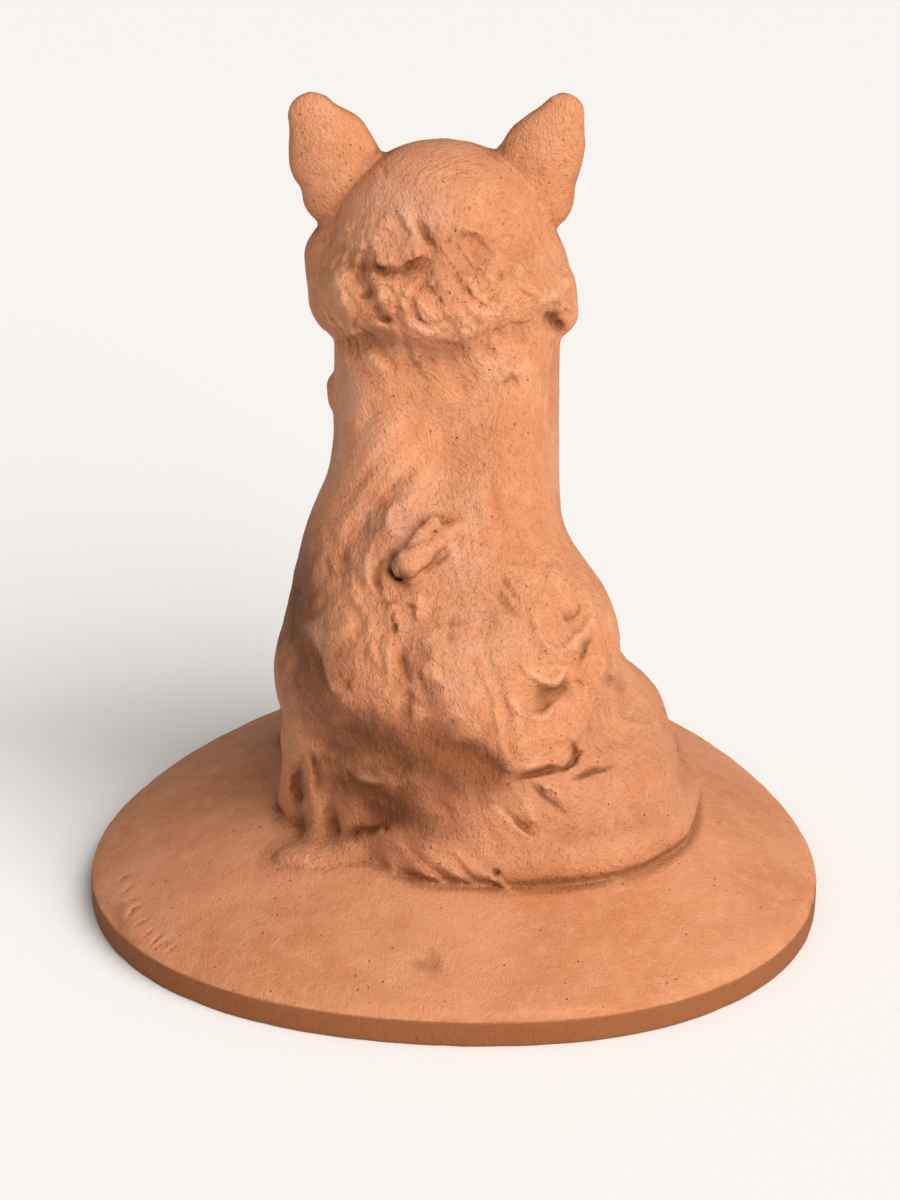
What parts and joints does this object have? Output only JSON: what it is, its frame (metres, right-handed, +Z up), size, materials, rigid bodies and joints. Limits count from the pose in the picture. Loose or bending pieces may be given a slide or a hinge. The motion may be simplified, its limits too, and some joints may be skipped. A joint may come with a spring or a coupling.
{
  "type": "cat figurine",
  "caption": "Seated cat with upright ears, shaggy ruff and tail curled round its side, on a low oval mound, hand-modelled in terracotta.",
  "frame": {"origin": "middle of the flat underside of the oval base", "axes": "+Z up; the cat faces -Y; its tail lies round its right side, at -X; +Y is its rump and the wide end of the oval"},
  "size_m": [0.3528, 0.4204, 0.3804],
  "materials": {
    "terracotta": "unglazed fired clay, matt, hand-modelled with tool and finger marks"
  },
  "bodies": {
    "root": {"cat_figurine": "terracotta"}
  },
  "joints": []
}
